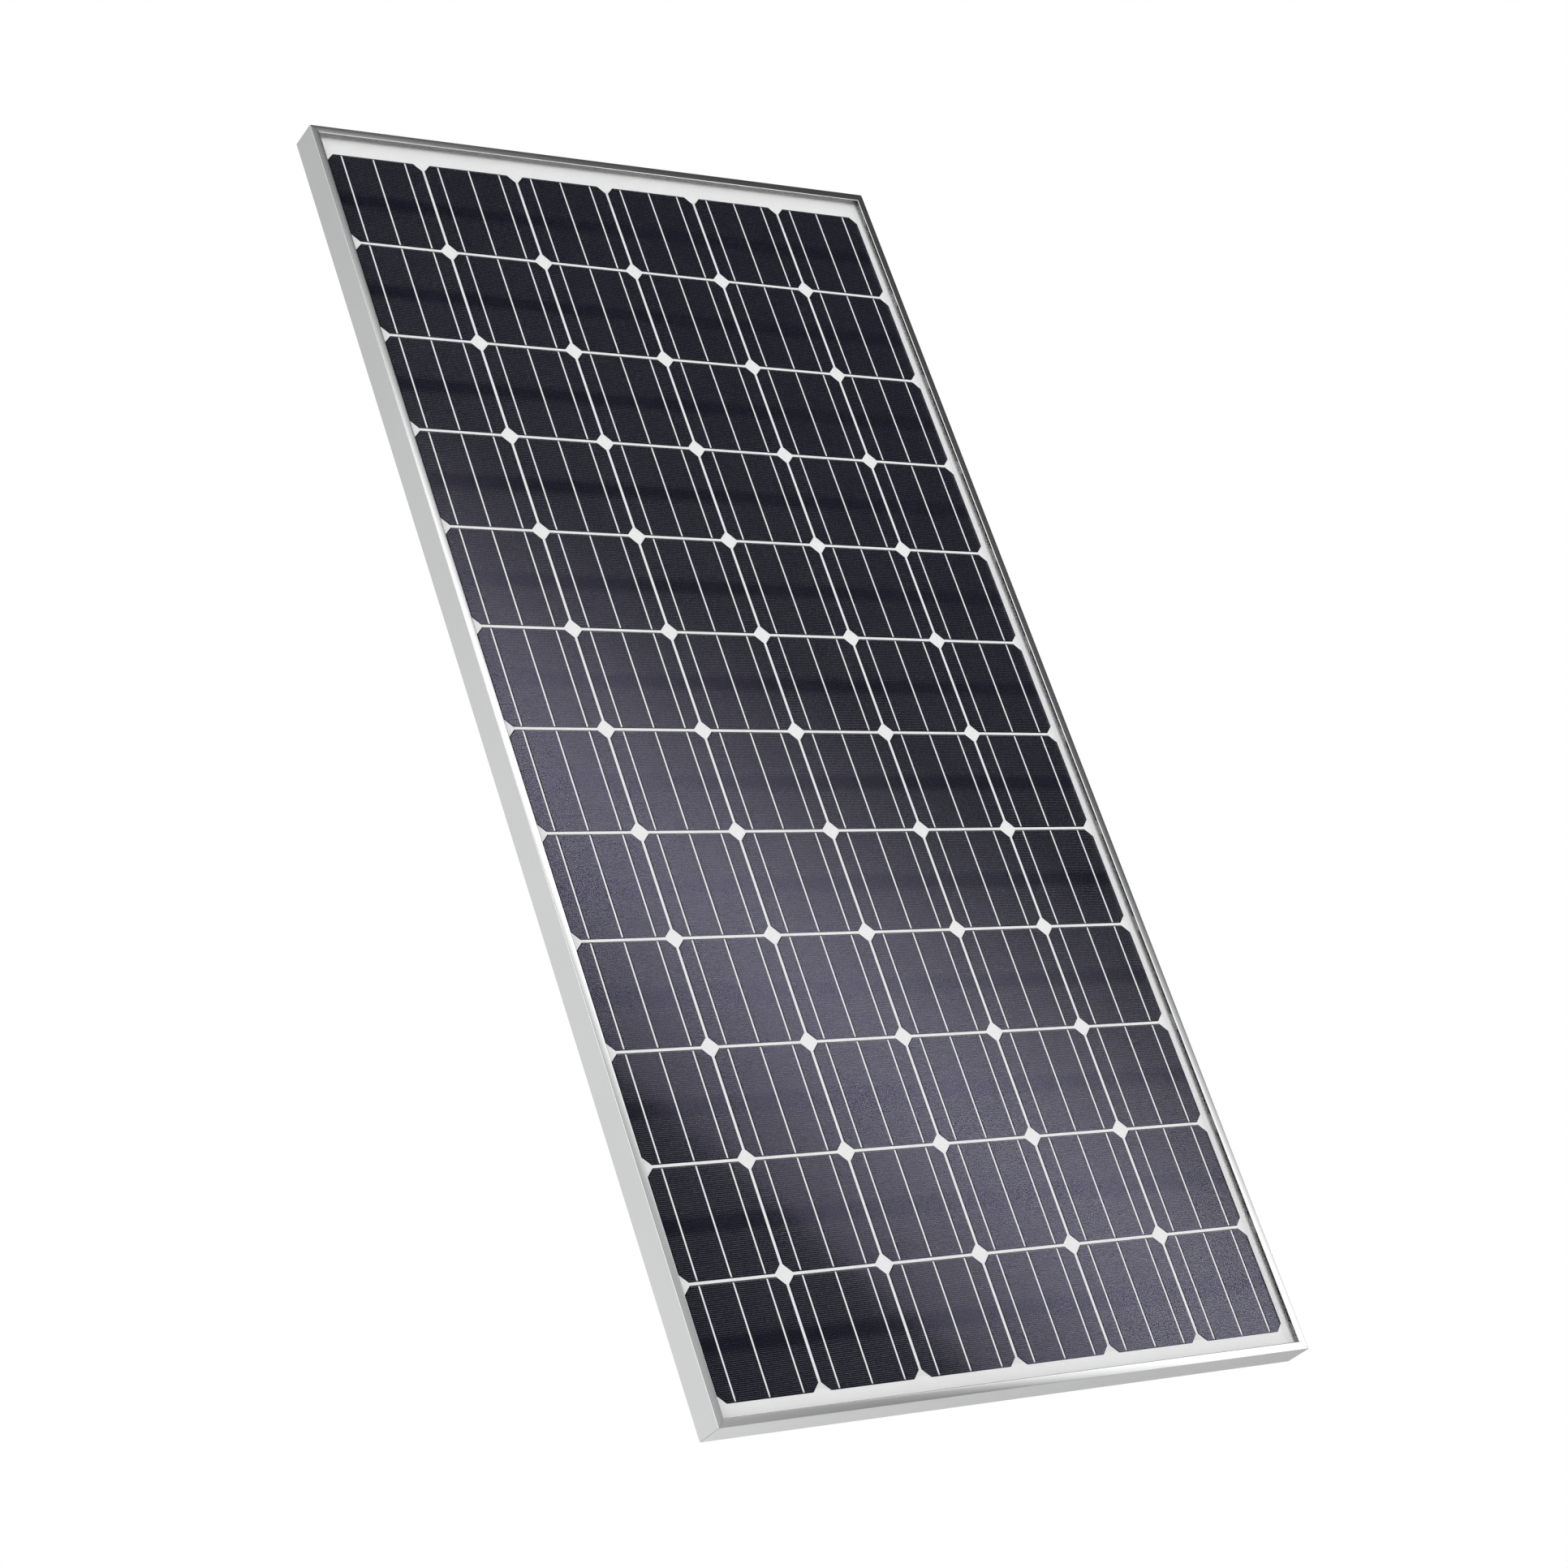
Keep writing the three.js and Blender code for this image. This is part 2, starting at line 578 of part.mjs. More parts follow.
function boxBase() {
  const grown = (side) => side + 2 * BOX_SKIRT;
  const skirtOutline = centred(grown(BOX_WIDTH), grown(BOX_HEIGHT), BOX_RADIUS + BOX_SKIRT);
  const skirt = extrude(skirtOutline, 0, SKIRT_HEIGHT);
  const walls = extrude(centred(BOX_WIDTH, BOX_HEIGHT, BOX_RADIUS), 0, BOX_DEPTH);
  const pieces = [skirt, walls];
  const holes = [
    extrude(
      centred(BOX_WIDTH - 2 * BOX_WALL, BOX_HEIGHT - 2 * BOX_WALL, BOX_RADIUS - BOX_WALL),
      BOX_FLOOR,
      BOX_DEPTH + PAST,
    ),
    block(...FLOOR_OPENING, [-PAST, BOX_FLOOR + PAST]),
  ];
  for (const x of [-GLAND_X, GLAND_X]) {
    const at = [x, GLAND_HEIGHT];
    pieces.push(bar("y", COLLAR.radius, [HALF_BOX_Y - PAST, HALF_BOX_Y + COLLAR.length], at));
    pieces.push(bar("y", STUB.radius, [HALF_BOX_Y - PAST, HALF_BOX_Y + STUB.length], at));
    holes.push(bar("y", STUB.bore, [HALF_BOX_Y - 2 * BOX_WALL, HALF_BOX_Y + STUB.length + PAST], at));
  }
  for (const ear of EARS) {
    pieces.push(block(ear, [HINGE_Y, -HALF_BOX_Y + PAST], [EAR_FOOT, BOX_DEPTH]));
    pieces.push(block(ear, [HINGE_Y, -HALF_BOX_Y], [EAR_FOOT, HINGE_Z]));
    pieces.push(bar("x", KNUCKLE_RADIUS, ear, [HINGE_Y, HINGE_Z]));
  }
  holes.push(bar("x", PIN_HOLE, PIN_HOLE_X, [HINGE_Y, HINGE_Z]));
  return cut(join(...pieces), ...holes);
}

// The lid, closed: a plate with a plug rim inside the walls, a knuckle at its top edge, a latch tongue at
// its bottom edge and two ribs across its back.
function boxLid() {
  const plug = (gap) => {
    const shrunk = (side) => side - 2 * (BOX_WALL + gap);
    return centred(shrunk(BOX_WIDTH), shrunk(BOX_HEIGHT), BOX_RADIUS - BOX_WALL - gap);
  };
  const ring = plug(PLUG_GAP);
  ring.holes.push(plug(PLUG_GAP + PLUG_THICKNESS));
  const tongue = block(
    [-TONGUE.width / 2, TONGUE.width / 2],
    [HALF_BOX_Y + FIT, HALF_BOX_Y + FIT + TONGUE.thickness],
    [TONGUE.from, LID_BACK],
  );
  const ribs = [-LID_RIB.place, LID_RIB.place].map((y) =>
    block(
      [-LID_RIB.length / 2, LID_RIB.length / 2],
      [y - LID_RIB.width / 2, y + LID_RIB.width / 2],
      [LID_BACK - PAST, LID_BACK + LID_RIB.height],
    ),
  );
  const plate = extrude(
    centred(BOX_WIDTH + 2 * LID_OVERHANG, BOX_HEIGHT + 2 * LID_OVERHANG, BOX_RADIUS + LID_OVERHANG),
    LID_FRONT,
    LID_BACK,
  );
  const notches = EARS.map(([x0, x1]) =>
    block(
      [x0 - HINGE_GAP, x1 + HINGE_GAP],
      [HINGE_Y - KNUCKLE_RADIUS, -HALF_BOX_Y + LID_OVERHANG - FIT],
      [LID_FRONT - PAST, LID_BACK + PAST],
    ),
  );
  const body = join(
    cut(plate, ...notches),
    extrude(ring, LID_FRONT - LID_PLUG, LID_FRONT + PAST),
    tongue,
    ...ribs,
    block(LID_KNUCKLE, [HINGE_Y, -HALF_BOX_Y], [LID_FRONT, LID_BACK]),
    bar("x", KNUCKLE_RADIUS, LID_KNUCKLE, [HINGE_Y, HINGE_Z]),
  );
  return cut(body, bar("x", PIN_HOLE, PIN_HOLE_X, [HINGE_Y, HINGE_Z]));
}

function frameRing(outerInset, innerInset, from, to) {
  const outline = (by) => centred(BOX_WIDTH - 2 * by, BOX_HEIGHT - 2 * by, Math.max(BOX_RADIUS - by, 1));
  const shape = outline(outerInset);
  shape.holes.push(outline(innerInset));
  return extrude(shape, from, to);
}

// A fluted cap nut with a domed end, bored for the stub and the seal.
function glandNut(x) {
  const start = HALF_BOX_Y + NUT.start;
  const end = start + NUT.length;
  const domeStart = end - NUT_DOME.length;
  const sealEnd = HALF_BOX_Y + STUB.length + FIT + SEAL.length;
  const flutes = new THREE.Shape();
  const points = [];
  for (let i = 0; i < 2 * NUT_FLUTES.count; i += 1) {
    const angle = (i * Math.PI) / NUT_FLUTES.count;
    const radius = i % 2 === 0 ? NUT.radius : NUT.radius - NUT_FLUTES.depth;
    points.push(new THREE.Vector2(radius * Math.cos(angle), radius * Math.sin(angle)));
  }
  flutes.setFromPoints(points);
  const grip = extrude(flutes, start, domeStart).rotateX(-Math.PI / 2);
  const domeLength = NUT_DOME.length + NUT_DOME.sunk;
  const [tip, foot] = [NUT.radius - NUT_DOME.tipInset, NUT.radius - NUT_DOME.footInset];
  const dome = new THREE.CylinderGeometry(tip, foot, domeLength, 2 * NUT_FLUTES.count);
  dome.translate(0, end - domeLength / 2, 0);
  const whole = cut(
    join(grip, dome),
    bar("y", NUT.bore, [start - PAST, sealEnd + FIT], [0, 0]),
    bar("y", NUT.hole, [start, end + PAST], [0, 0]),
  );
  return whole.translate(x, 0, GLAND_HEIGHT);
}

function glandSeal(x) {
  const start = HALF_BOX_Y + STUB.length + FIT;
  const at = [x, GLAND_HEIGHT];
  return cut(
    bar("y", NUT.bore - FIT, [start, start + SEAL.length], at),
    bar("y", SEAL.bore, [start - PAST, start + SEAL.length + PAST], at),
  );
}

// A folded channel of tinned copper on the floor of the box.
function terminal(x) {
  const floor = TERMINAL_FLOOR;
  const along = [TERMINAL.from, TERMINAL.to];
  const half = TERMINAL.width / 2;
  return cut(
    block([x - half, x + half], along, [floor, floor + TERMINAL.height]),
    block(
      [x - half + TERMINAL_WALL, x + half - TERMINAL_WALL],
      [TERMINAL.from - PAST, TERMINAL.to + PAST],
      [floor + TERMINAL_WALL, floor + TERMINAL.height + PAST],
    ),
  );
}

function diode(x) {
  const half = DIODE.length / 2;
  const reach = DIODE.leadReach;
  const chamfer = DIODE.chamfer;
  const outline = [
    [0, -reach],
    [DIODE.leadRadius, -reach],
    [DIODE.leadRadius, -half],
    [DIODE.radius - chamfer, -half],
    [DIODE.radius, -half + chamfer],
    [DIODE.radius, half - chamfer],
    [DIODE.radius - chamfer, half],
    [DIODE.leadRadius, half],
    [DIODE.leadRadius, reach],
    [0, reach],
  ].map(([r, along]) => new THREE.Vector2(r, along));
  return new THREE.LatheGeometry(outline, 16).rotateZ(-Math.PI / 2).translate(x, DIODE.y, DIODE.height);
}

function buildJunctionBox() {
  const box = new THREE.Group();
  box.rotation.x = -Math.PI / 2;
  box.position.set(0, yAt(BOX_FOOT), BOX_Z);
  panel.add(box);
  add("junction_box_adhesive", frameRing(-BOX_SKIRT + 1, 4, -ADHESIVE - TOUCH, -TOUCH), SILICONE, box);
  add("junction_box_base", boxBase(), BLACK_PLASTIC, box);
  add("junction_box_gasket", frameRing(0.2, 2, BOX_DEPTH + TOUCH, LID_FRONT - TOUCH), BLACK_RUBBER, box);
  add("junction_box_lid", boxLid(), BLACK_PLASTIC, box);
  add("lid_hinge_pin", bar("x", PIN_RADIUS, PIN_X, [HINGE_Y, HINGE_Z]), STEEL, box);
  TERMINAL_X.forEach((x, i) => add("contact_rail_" + (i + 1), terminal(x), TINNED_COPPER, box));
  [-1, 0, 1].forEach((step, i) => add("bypass_diode_" + (i + 1), diode(step * TERMINAL_PITCH), EPOXY, box));
  [["left", -GLAND_X], ["right", GLAND_X]].forEach(([side, x]) => {
    add(side + "_gland_nut", glandNut(x), BLACK_PLASTIC, box);
    add(side + "_gland_seal", glandSeal(x), BLACK_RUBBER, box);
  });
}

buildFrame();
buildCornerKeys();
buildLaminate();
buildJunctionBox();

export default panel;
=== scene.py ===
"""A framed 72-cell solar panel: the CAD frame with detailed cells, finishes and studio light."""

import math
import random

import bpy
from mathutils import Matrix, Vector


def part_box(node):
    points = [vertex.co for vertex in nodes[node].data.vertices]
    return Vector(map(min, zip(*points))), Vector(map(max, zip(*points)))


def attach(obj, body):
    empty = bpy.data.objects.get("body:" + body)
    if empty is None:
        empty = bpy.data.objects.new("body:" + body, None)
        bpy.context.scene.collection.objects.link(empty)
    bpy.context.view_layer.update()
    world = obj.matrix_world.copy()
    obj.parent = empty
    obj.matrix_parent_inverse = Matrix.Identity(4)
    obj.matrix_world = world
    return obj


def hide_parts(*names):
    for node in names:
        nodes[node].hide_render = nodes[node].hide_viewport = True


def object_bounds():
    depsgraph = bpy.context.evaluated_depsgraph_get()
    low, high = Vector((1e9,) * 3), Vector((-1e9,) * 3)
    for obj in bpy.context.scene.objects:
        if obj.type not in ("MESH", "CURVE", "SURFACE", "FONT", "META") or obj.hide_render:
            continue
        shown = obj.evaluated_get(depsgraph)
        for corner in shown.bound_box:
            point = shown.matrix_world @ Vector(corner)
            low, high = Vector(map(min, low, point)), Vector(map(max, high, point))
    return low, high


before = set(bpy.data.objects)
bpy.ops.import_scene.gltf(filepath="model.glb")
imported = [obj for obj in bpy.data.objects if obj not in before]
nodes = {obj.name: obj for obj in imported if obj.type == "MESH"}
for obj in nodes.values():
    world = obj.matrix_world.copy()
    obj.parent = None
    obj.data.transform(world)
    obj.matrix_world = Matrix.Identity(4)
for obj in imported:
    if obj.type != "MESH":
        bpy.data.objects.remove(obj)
cad_low, cad_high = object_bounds()
draw = random.Random(72)

MM = 0.001

# The cell grid, as in the CAD
COLUMNS = 6
ROWS = 12
CELL_HALF_X = 77.5 * MM
CELL_HALF_Z = 76.85 * MM
CELL_CORNER = 11.7 * MM  # cut off each corner, along both sides
PITCH_Z = 157.7 * MM

# Bare silicon that shows round the coated areas. Its wider strips are a painted shadow
SHADOW_EDGE = 1.5 * MM  # a painted shadow beside each ribbon and along the wafer's left edge
RIM = 0.35 * MM  # along the other edges

# The ribbons, measured from the wafer's centre line
BUSBARS = (-52.6 * MM, -0.6 * MM, 51.4 * MM)
RIBBON_WIDTH = 2.5 * MM
RIBBON_INSET = 1.4 * MM  # from the wafer's edge to the end of a ribbon
RIBBON_STEPS = 26  # lengths between its rings
RIBBON_SHOULDER_SHARE = 0.86  # of its half width
RIBBON_CROWN_SHARE = 0.4
RIBBON_WIDTH_VARIES = 0.03  # share of its width
SOLDER_HOLLOW = 0.02 * MM  # how far its crown dips at most

# The printed lines
FINGER_PITCH = 2.65 * MM
FINGER_WIDTH = 0.48 * MM
FINGER_MARGIN = 2 * MM  # kept clear at the wafer's top and bottom
FINGER_SHORTEST = 1 * MM
EDGE_LINE_AT = 1.1 * MM  # the wider printed line along the wafer's top edge
EDGE_LINE_WIDTH = 1.1 * MM

# The band across the wafer's middle where the fingers are thin
THIN_BAND_AT = -3 * MM
THIN_BAND_HALF = 3 * MM
THIN_BAND_FADE = 14 * MM  # from the band to the full width
THINNEST = 0.2  # share of the full width

# The frame's inner walls, measured from its centre
LIP_WIDTH = 12 * MM
LONG_WALL_AT = (cad_high.x - cad_low.x) / 2 - LIP_WIDTH
SHORT_WALL_AT = (cad_high.z - cad_low.z) / 2 - LIP_WIDTH
WALL_SHADE_FADE = (0.86, 0.96)  # shares of that distance between which the painted shade sets in: a darker colour on the inner walls

DIODE_BODY_SHARE = 0.4  # of the length over both leads

# Places of the cell's layers along Y. The glass side is the lower value
CELL_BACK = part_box("cell_string_1")[1].y
WAFER_FRONT = CELL_BACK - 0.12 * MM
ACTIVE_FRONT = WAFER_FRONT - 0.02 * MM
FINGER_FRONT = ACTIVE_FRONT - 0.02 * MM
RIBBON_SHOULDER = ACTIVE_FRONT - 0.05 * MM
RIBBON_FRONT = CELL_BACK - 0.24 * MM


# --- camera -----------------------------------------------------------------

CAMERA_AT = Vector((-2.9772, -3.3560, -1.0383))
AZIMUTH = math.radians(41.155)  # clockwise from +Y, seen from above
ELEVATION = math.radians(23.490)
ROLL = math.radians(19.196)
LENS = 81.29  # focal length and sensor width, in millimetres
SENSOR = 36.0
CLIP_START = 0.05
CLIP_END = 100


def make_camera():
    """Looks up at the panel's front from low on its left."""
    forward = Vector(
        (
            math.sin(AZIMUTH) * math.cos(ELEVATION),
            math.cos(AZIMUTH) * math.cos(ELEVATION),
            math.sin(ELEVATION),
        )
    )
    level_right = Vector((math.cos(AZIMUTH), -math.sin(AZIMUTH), 0))
    level_up = level_right.cross(forward)
    right = level_right * math.cos(ROLL) - level_up * math.sin(ROLL)
    up = right.cross(forward)
    data = bpy.data.cameras.new("camera")
    data.lens = LENS
    data.sensor_width = SENSOR
    data.clip_start = CLIP_START
    data.clip_end = CLIP_END
    camera = bpy.data.objects.new("camera", data)
    turn = Matrix((right, up, -forward)).transposed()
    camera.matrix_world = Matrix.Translation(CAMERA_AT) @ turn.to_4x4()
    bpy.context.scene.collection.objects.link(camera)
    bpy.context.scene.camera = camera


# --- node helpers -----------------------------------------------------------

NOISE_RANGE = (0.3, 0.7)  # the part of a noise factor that is put to use


def new_material(name):
    made = bpy.data.materials.new(name)
    made.use_nodes = True
    return made, made.node_tree.nodes["Principled BSDF"]


def add_node(tree, kind, inputs=None, **settings):
    """Adds a node, with values for its inputs and settings for itself."""
    made = tree.nodes.new(kind)
    for key, value in settings.items():
        setattr(made, key, value)
    for key, value in (inputs or {}).items():
        made.inputs[key].default_value = value
    return made


def noise_texture(tree, scale, detail=3, stretch=(1, 1, 1)):
    """Noise in object space. A stretch factor below 1 draws it out along that axis."""
    place = add_node(tree, "ShaderNodeTexCoord")
    mapping = add_node(tree, "ShaderNodeMapping", {"Scale": stretch})
    noise = add_node(tree, "ShaderNodeTexNoise", {"Scale": scale, "Detail": detail})
    tree.links.new(place.outputs["Object"], mapping.inputs["Vector"])
    tree.links.new(mapping.outputs["Vector"], noise.inputs["Vector"])
    return noise


def map_range(tree, value, old, new, **settings):
    """Maps a value from one range onto another, held at both ends."""
    made = add_node(
        tree,
        "ShaderNodeMapRange",
        {"From Min": old[0], "From Max": old[1], "To Min": new[0], "To Max": new[1]},
        **settings,
    )
    tree.links.new(value, made.inputs["Value"])
    return made.outputs["Result"]


def spread(tree, noise, low, high):
    """Maps a noise factor onto the range low to high."""
    return map_range(tree, noise.outputs["Fac"], NOISE_RANGE, (low, high))


def two_tones(tree, noise, first, second):
    """A colour between two tones, by a noise factor."""
    ramp = add_node(tree, "ShaderNodeValToRGB")
    for stop, position, tone in zip(ramp.color_ramp.elements, NOISE_RANGE, (first, second)):
        stop.position = position
        stop.color = (*tone, 1)
    tree.links.new(noise.outputs["Fac"], ramp.inputs["Fac"])
    return ramp.outputs["Color"]


def blend(tree, share, first, second):
    """The first colour where share is 0, and the second where it is 1."""
    mix = add_node(tree, "ShaderNodeMix", data_type="RGBA")
    tree.links.new(share, mix.inputs["Factor"])
    tree.links.new(first, mix.inputs["A"])
    tree.links.new(second, mix.inputs["B"])
    return mix.outputs["Result"]


def add_bump(tree, noise, strength, distance):
    """A normal disturbed by a noise factor."""
    bump = add_node(tree, "ShaderNodeBump", {"Strength": strength, "Distance": distance})
    tree.links.new(noise.outputs["Fac"], bump.inputs["Height"])
    return bump.outputs["Normal"]


def finish(
    name,
    tones,
    roughness,
    stretch=(1, 1, 1),
    grain=400,
    blotch=12,
    bump=0.2,
    depth=0.05 * MM,
    metallic=0.0,
    ior=1.5,
    tint=None,
):
    """A material with blotchy colour, and roughness and bump from a finer grain."""
    made, shader = new_material(name)
    tree = made.node_tree
    wide = noise_texture(tree, blotch)
    fine = noise_texture(tree, grain, stretch=stretch)
    tree.links.new(two_tones(tree, wide, *tones), shader.inputs["Base Color"])
    tree.links.new(spread(tree, fine, *roughness), shader.inputs["Roughness"])
    tree.links.new(add_bump(tree, fine, bump, depth), shader.inputs["Normal"])
    shader.inputs["Metallic"].default_value = metallic
    shader.inputs["IOR"].default_value = ior
    if tint:
        shader.inputs["Specular Tint"].default_value = (*tint, 1)
    return made


# --- materials --------------------------------------------------------------


def wall_shade_share(tree, wall_at):
    """1 on the faces that look at the frame's centre from this far or farther, and 0 elsewhere: where
    the painted shade goes.
    """
    place = add_node(tree, "ShaderNodeTexCoord")
    centre = (cad_low + cad_high) / 2
    from_centre = add_node(tree, "ShaderNodeVectorMath", {1: centre}, operation="SUBTRACT")
    outward = add_node(tree, "ShaderNodeVectorMath", operation="DOT_PRODUCT")
    tree.links.new(place.outputs["Object"], from_centre.inputs[0])
    tree.links.new(from_centre.outputs["Vector"], outward.inputs[0])
    tree.links.new(place.outputs["Normal"], outward.inputs[1])
    fade = [-share * wall_at for share in WALL_SHADE_FADE]
    return map_range(tree, outward.outputs["Value"], fade, (0.0, 1.0))


def anodised(name, stretch, wall_at):
    """Satin anodised aluminium: extrusion lines along the rail, and a painted shade on its inner side,
    whose faces get a much darker colour.
    """
    made, shader = new_material(name)
    tree = made.node_tree
    wide = noise_texture(tree, 5)
    fine = noise_texture(tree, 900, stretch=stretch)
    outer = two_tones(tree, wide, (0.705, 0.708, 0.712), (0.735, 0.737, 0.741))
    # painted shade: the inner walls get a dark colour that stands in for their shade
    wall = two_tones(tree, wide, (0.21, 0.211, 0.213), (0.25, 0.251, 0.253))
    colour = blend(tree, wall_shade_share(tree, wall_at), outer, wall)
    tree.links.new(colour, shader.inputs["Base Color"])
    tree.links.new(spread(tree, fine, 0.17, 0.21), shader.inputs["Roughness"])
    tree.links.new(add_bump(tree, fine, 0.015, 0.01 * MM), shader.inputs["Normal"])
    shader.inputs["Metallic"].default_value = 1.0
    return made


def clear_glass():
    """Low-iron glass with a faint rolled texture. Its back is bonded, so only its front reflects."""
    made, shader = new_material("solar_glass")
    tree = made.node_tree
    tree.nodes.remove(shader)
    clear = add_node(tree, "ShaderNodeBsdfTransparent", {"Color": (0.99, 0.99, 0.99, 1)})
    gloss = add_node(tree, "ShaderNodeBsdfGlossy", {"Roughness": 0.16, "Color": (0.9, 0.93, 1, 1)})
    fresnel = add_node(tree, "ShaderNodeFresnel", {"IOR": 1.16})
    side = add_node(tree, "ShaderNodeNewGeometry")
    front = add_node(tree, "ShaderNodeMath", {0: 1.0}, operation="SUBTRACT")
    share = add_node(tree, "ShaderNodeMath", operation="MULTIPLY")
    mix = add_node(tree, "ShaderNodeMixShader")
    rolled = noise_texture(tree, 700, detail=1)
    tree.links.new(add_bump(tree, rolled, 0.1, 0.03 * MM), gloss.inputs["Normal"])
    tree.links.new(side.outputs["Backfacing"], front.inputs[1])
    tree.links.new(fresnel.outputs["Fac"], share.inputs[0])
    tree.links.new(front.outputs["Value"], share.inputs[1])
    tree.links.new(share.outputs["Value"], mix.inputs["Fac"])
    tree.links.new(clear.outputs["BSDF"], mix.inputs[1])
    tree.links.new(gloss.outputs["BSDF"], mix.inputs[2])
    tree.links.new(mix.outputs["Shader"], tree.nodes["Material Output"].inputs["Surface"])
    return made


def clear_film():
    """Cured encapsulant: clear, with a trace of haze."""
    made, shader = new_material("clear_encapsulant")
    tree = made.node_tree
    tree.nodes.remove(shader)
    clear = add_node(tree, "ShaderNodeBsdfTransparent", {"Color": (0.997, 0.997, 0.997, 1)})
    haze = add_node(tree, "ShaderNodeBsdfDiffuse", {"Color": (0.8, 0.8, 0.78, 1)})
    mix = add_node(tree, "ShaderNodeMixShader")
    cloudy = noise_texture(tree, 20, detail=2)
    tree.links.new(spread(tree, cloudy, 0.0005, 0.0015), mix.inputs["Fac"])
    tree.links.new(clear.outputs["BSDF"], mix.inputs[1])
    tree.links.new(haze.outputs["BSDF"], mix.inputs[2])
    tree.links.new(mix.outputs["Shader"], tree.nodes["Material Output"].inputs["Surface"])
    return made


def lead_share(tree):
    """1 on the leads, at both ends of the node's length, and 0 on the body between them."""
    place = add_node(tree, "ShaderNodeTexCoord")
    share = add_node(tree, "ShaderNodeSeparateXYZ")
    from_middle = add_node(tree, "ShaderNodeMath", {1: 0.5}, operation="SUBTRACT")
    distance = add_node(tree, "ShaderNodeMath", operation="ABSOLUTE")
    is_lead = add_node(tree, "ShaderNodeMath", {1: DIODE_BODY_SHARE / 2}, operation="GREATER_THAN")
    tree.links.new(place.outputs["Generated"], share.inputs["Vector"])
    tree.links.new(share.outputs["X"], from_middle.inputs[0])
    tree.links.new(from_middle.outputs["Value"], distance.inputs[0])
    tree.links.new(distance.outputs["Value"], is_lead.inputs[0])
    return is_lead.outputs["Value"]


def moulded_diode():
    """A black epoxy body with tinned leads."""
    made, shader = new_material("diode")
    tree = made.node_tree
    wide = noise_texture(tree, 30)
    fine = noise_texture(tree, 1400)
    epoxy = two_tones(tree, wide, (0.02, 0.02, 0.021), (0.03, 0.03, 0.031))
    tin = two_tones(tree, wide, (0.68, 0.67, 0.66), (0.78, 0.77, 0.76))
    is_lead = lead_share(tree)
    tree.links.new(blend(tree, is_lead, epoxy, tin), shader.inputs["Base Color"])
    tree.links.new(is_lead, shader.inputs["Metallic"])
    tree.links.new(spread(tree, fine, 0.35, 0.5), shader.inputs["Roughness"])
    tree.links.new(add_bump(tree, fine, 0.2, 0.05 * MM), shader.inputs["Normal"])
    return made


def cell_materials():
    return {
        "silicon": finish(
            "bare_silicon",
            ((0.0025, 0.0025, 0.004), (0.004, 0.004, 0.006)),
            (0.8, 0.95),
            grain=900,
            blotch=9,
            bump=0.1,
            ior=1.12,
        ),
        "active": finish(
            "coated_silicon",
            ((0.0025, 0.0025, 0.009), (0.004, 0.0038, 0.0125)),
            (0.06, 0.09),
            grain=900,
            blotch=9,
            bump=0.1,
            depth=0.02 * MM,
            ior=1.78,
            tint=(0.73, 0.685, 1.0),
        ),
        "finger": finish(
            "silver_finger",
            ((0.035, 0.035, 0.044), (0.048, 0.048, 0.058)),
            (0.2, 0.35),
            grain=1500,
            blotch=60,
            ior=2.2,
        ),
        "ribbon": finish(
            "tinned_ribbon",
            ((0.9, 0.9, 0.9), (0.96, 0.96, 0.96)),
            (0.38, 0.55),
            stretch=(1, 1, 0.25),
            grain=1200,
            blotch=80,
            bump=0.3,
        ),
    }


def sheet_materials():
    return {
        "glass": clear_glass(),
        "film": clear_film(),
        "backsheet": finish(
            "white_backsheet",
            ((0.86, 0.86, 0.862), (0.89, 0.888, 0.89)),
            (0.5, 0.62),
            grain=1300,
            blotch=7,
            bump=0.15,
        ),
        "white_film": finish(
            "white_encapsulant",
            ((0.88, 0.88, 0.882), (0.91, 0.908, 0.91)),
            (0.5, 0.62),
            grain=900,
            blotch=9,
            bump=0.1,
        ),
        "insulation": finish(
            "insulation_film", ((0.8, 0.8, 0.79), (0.84, 0.84, 0.83)), (0.45, 0.6), grain=900
        ),
        "sealant": finish(
            "silicone", ((0.74, 0.74, 0.72), (0.8, 0.8, 0.78)), (0.4, 0.55), grain=300, bump=0.3
        ),
    }


def hardware_materials():
    return {
        "long_rail": anodised("anodised_long", (1, 1, 0.004), LONG_WALL_AT),
        "short_rail": anodised("anodised_short", (0.004, 1, 1), SHORT_WALL_AT),
        "key": finish(
            "cast_key", ((0.6, 0.6, 0.61), (0.68, 0.68, 0.69)), (0.45, 0.6), grain=700, metallic=1.0
        ),
        "copper": finish(
            "tinned_copper",
            ((0.7, 0.69, 0.67), (0.78, 0.77, 0.75)),
            (0.3, 0.45),
            grain=900,
            metallic=0.9,
        ),
        "plastic": finish(
            "box_plastic",
            ((0.016, 0.016, 0.017), (0.024, 0.024, 0.025)),
            (0.38, 0.52),
            grain=1600,
            blotch=30,
            bump=0.35,
            depth=0.06 * MM,
        ),
        "rubber": finish(
            "black_rubber", ((0.012, 0.012, 0.012), (0.02, 0.02, 0.02)), (0.6, 0.75), grain=900
        ),
        "steel": finish(
            "steel",
            ((0.55, 0.55, 0.56), (0.62, 0.62, 0.63)),
            (0.25, 0.4),
            stretch=(0.05, 1, 1),
            grain=1200,
            metallic=1.0,
        ),
        "diode": moulded_diode(),
    }


# --- mesh helpers -----------------------------------------------------------


